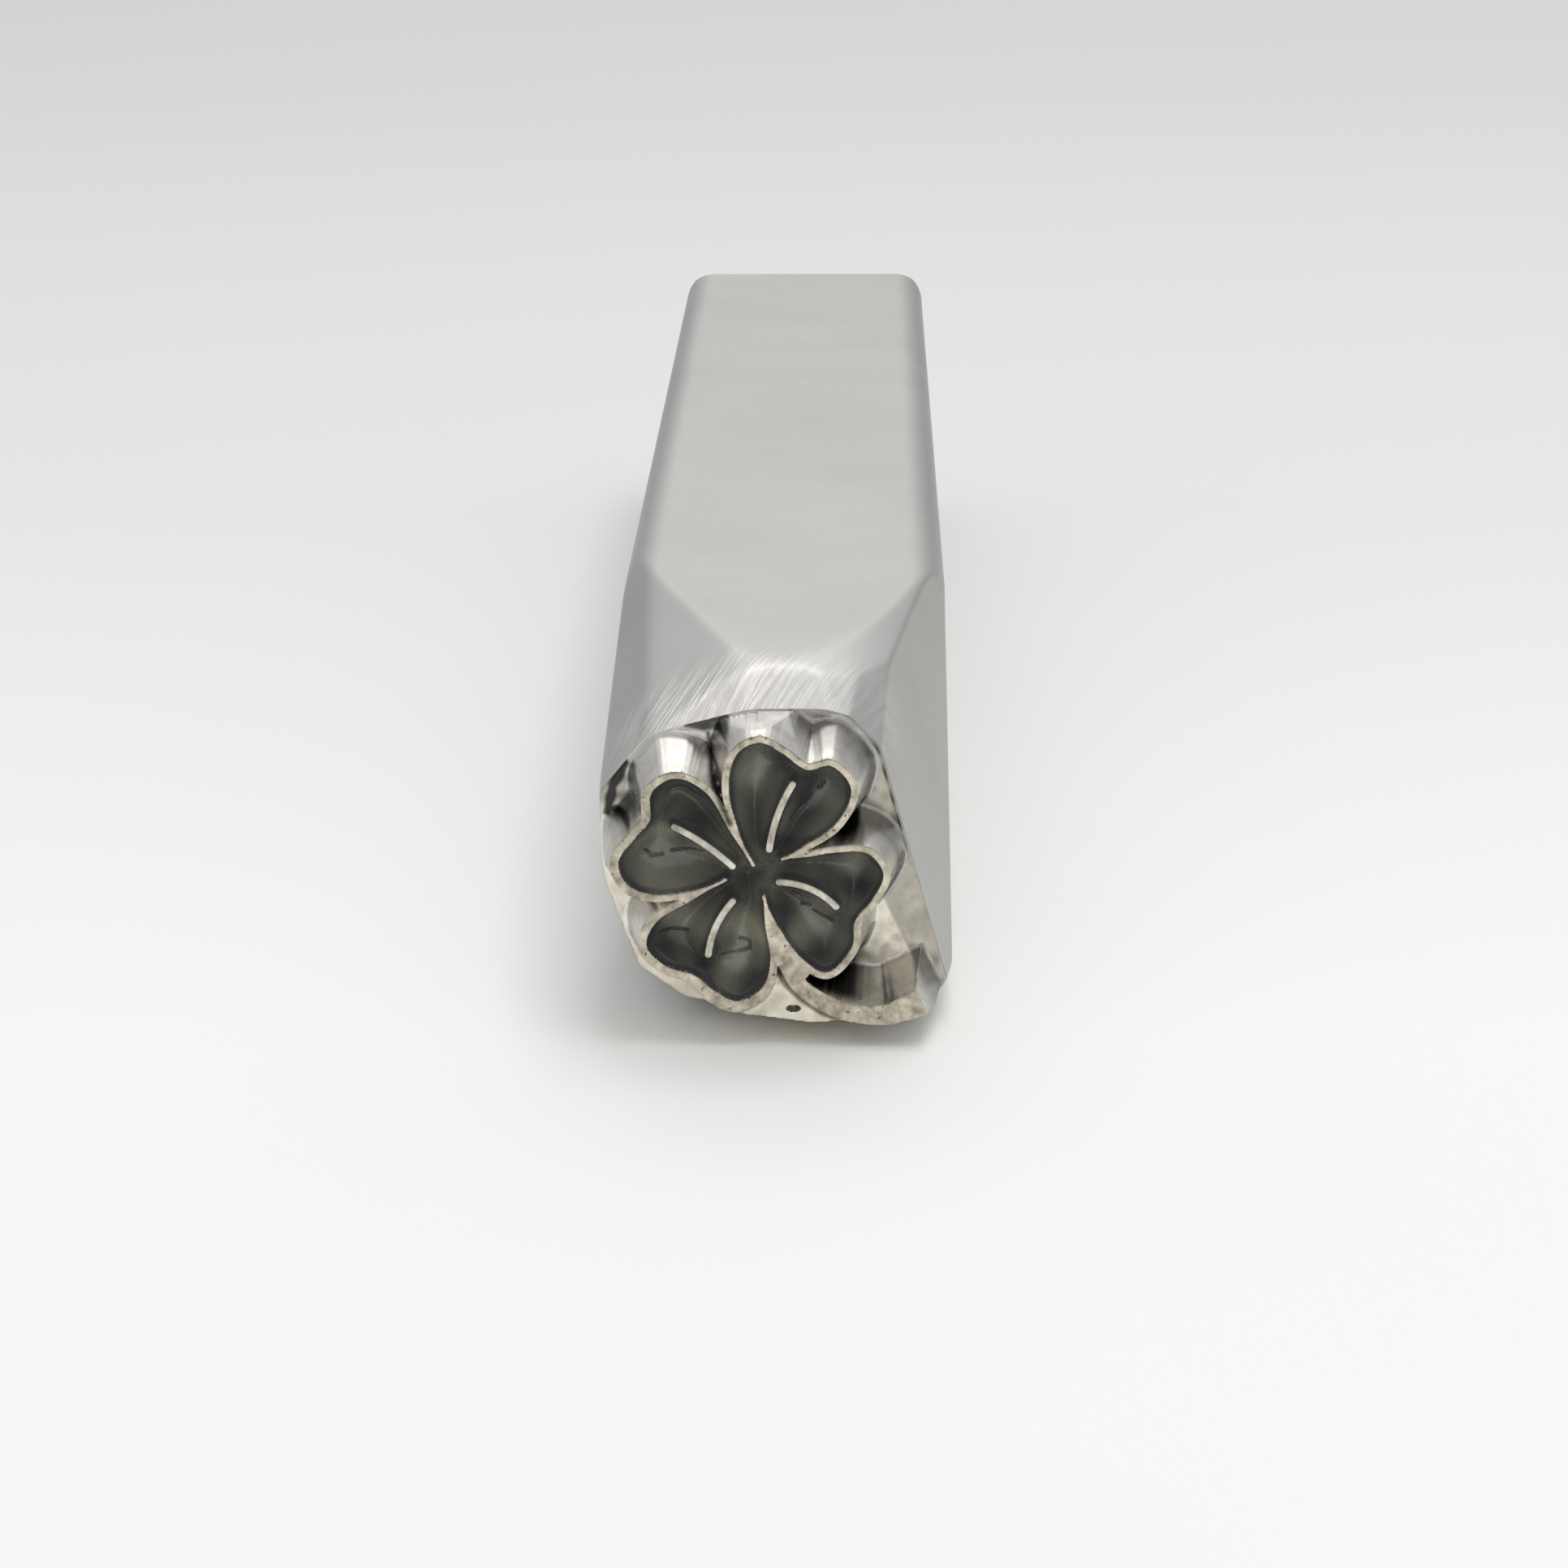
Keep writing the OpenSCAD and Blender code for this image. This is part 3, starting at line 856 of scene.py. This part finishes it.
def bar_piece(name, node, ts, mat, front=(), back=(), marks=None):
    """A length of the bar; marks gives how scratched each point is."""
    obj = swept(name, angles, ts, blank_radius(angles, ts), mat, front, back)
    if marks is not None:
        p = np.empty(len(obj.data.vertices) * 3, np.float32)
        obj.data.vertices.foreach_get("co", p)
        x, y, z = p.reshape(-1, 3).T / MM
        paint(obj, "scratched", marks(x, y - FACE_Y, z - HALF))
    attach(obj, "root")
    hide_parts(node)


start = RELIEF + ROLL * 0.75
nose_ts = start + (NOSE_END - start) * np.linspace(0, 1, NOSE_RINGS) ** 1.8
shank_ts = np.linspace(NOSE_END, STRUCK_START, 40)
corner = TOOL_LEN - STRUCK_CHAMFER
end_ts = np.concatenate([np.linspace(STRUCK_START, corner - 0.2, 12),
                         np.linspace(corner - 0.15, corner + 0.15, 9),
                         np.linspace(corner + 0.2, TOOL_LEN - 0.06, 12)])
bar_piece("ground_nose", "nose", nose_ts, nose_steel,
          front=[(0.97, RELIEF + 0.4), (0.999, RELIEF + 0.2)], marks=nose_scratches)
bar_piece("bar_shank", "shank", shank_ts, bar_steel)
bar_piece("hammer_end", "struck_end", end_ts, struck_steel,
          back=[(0.99, TOOL_LEN - 0.02), (0.975, TOOL_LEN), (0.6, TOOL_LEN), (0.3, TOOL_LEN)],
          marks=hammer_marks)

# ---------------------------------------------------------------- floor, light and camera


def paper():
    """Pale matt paper, with painted shade that darkens it away from the camera, where less light
    falls.
    """
    m, nodes, links, bsdf = material("floor_paper")
    bsdf.inputs["Roughness"].default_value = 0.9
    bsdf.inputs["Specular IOR Level"].default_value = 0.15
    cloud = noise(nodes, links, mapped(nodes, links, (20, 20, 20)), 2)
    near = ramp(nodes, links, cloud, [(0.3, (0.955, 0.96, 0.94)), (0.7, (0.97, 0.975, 0.955))])
    place = nodes.new("ShaderNodeSeparateXYZ")
    links.new(mapped(nodes, links, (1, 1, 1)), place.inputs["Vector"])
    # Painted shade: the paper darkens away from the tool, as the light falls off.
    away = rescale(nodes, links, place.outputs["Y"], (-0.03, 0.15))
    far_shade = ramp(nodes, links, away, [(0, 0), (0.33, 0.65), (1, 1)])
    colour = blend_colour(nodes, links, far_shade, near, (0.76, 0.765, 0.75))
    links.new(colour, bsdf.inputs["Base Color"])
    return m


bpy.ops.mesh.primitive_plane_add(size=1.6, location=(0, 0, 0))
floor = bpy.context.object
floor.name = "floor"
floor.data.materials.append(paper())


def studio():
    """Dim surroundings, with a broad window behind the struck end and a bright band above it."""
    world = bpy.data.worlds.new("studio")
    world.use_nodes = True
    nodes, links = world.node_tree.nodes, world.node_tree.links
    axes = nodes.new("ShaderNodeSeparateXYZ")
    links.new(nodes.new("ShaderNodeTexCoord").outputs["Generated"], axes.inputs["Vector"])
    across, along, up = (axes.outputs[name] for name in "XYZ")
    aside = nodes.new("ShaderNodeMath")
    aside.operation = "ABSOLUTE"
    links.new(across, aside.inputs[0])
    from_left = rescale(nodes, links, across, (-1, 1))

    def area(value, stops, level, level_stops):
        """Bright in a stretch across and a stretch upwards, and only behind the tool."""
        shape = times(nodes, links, ramp(nodes, links, value, stops),
                      ramp(nodes, links, level, level_stops))
        return times(nodes, links, shape, behind)

    behind = ramp(nodes, links, along, [(0, 0), (0.2, 1)])
    window = area(aside.outputs[0], [(0, 1), (0.1, 1), (0.26, 0.55), (0.42, 0.15), (0.6, 0)],
                  up, [(0, 0.1), (0.07, 0.3), (0.2, 0.7), (0.54, 0.7), (0.62, 0)])
    band = area(from_left, [(0.25, 0), (0.4, 1), (0.57, 1), (0.64, 0.3), (0.8, 0)],
                up, [(0.54, 0), (0.6, 0.8), (0.65, 1), (0.73, 1), (0.79, 0.1), (0.97, 0)])
    colour = blend_colour(nodes, links, window, (0.54, 0.545, 0.55), (1.35, 1.34, 1.32))
    colour = blend_colour(nodes, links, band, colour, (2.1, 2.08, 2.03))
    links.new(colour, nodes["Background"].inputs["Color"])
    return world


def softbox(name, place, target, size, power):
    """A soft light. Polished flats mirror only the surroundings, and not the light itself."""
    light = bpy.data.lights.new(name, "AREA")
    light.shape = "RECTANGLE"
    light.size, light.size_y = size
    light.energy = power
    light.color = (1, 1, 0.985)
    obj = bpy.data.objects.new(name, light)
    bpy.context.scene.collection.objects.link(obj)
    obj.location = place
    obj.visible_glossy = False
    obj.rotation_euler = (Vector(target) - Vector(place)).to_track_quat("-Z", "Y").to_euler()


bpy.context.scene.world = studio()
softbox("overhead", (0.09, -0.01, 0.45), (0, -0.02, 0), (0.4, 0.22), 0.82)
softbox("front", (0.06, -0.3, 0.35), (0, -0.16, 0), (0.4, 0.2), 0.08)

# The camera looks down on the face from in front, a little from the right.
CAMERA_PLACE = (2.17 * MM, (FACE_Y - 100.318) * MM, 38.865 * MM)
CAMERA_TURNS = (72.557, 0.314, 1.0)
camera = bpy.data.objects.new("camera", bpy.data.cameras.new("camera"))
camera.data.lens = 92.72
camera.data.sensor_width = 36
camera.data.clip_start = 0.005
camera.location = CAMERA_PLACE
camera.rotation_euler = [math.radians(turn) for turn in CAMERA_TURNS]
bpy.context.scene.collection.objects.link(camera)
bpy.context.scene.camera = camera
bpy.context.scene.view_settings.view_transform = "Standard"
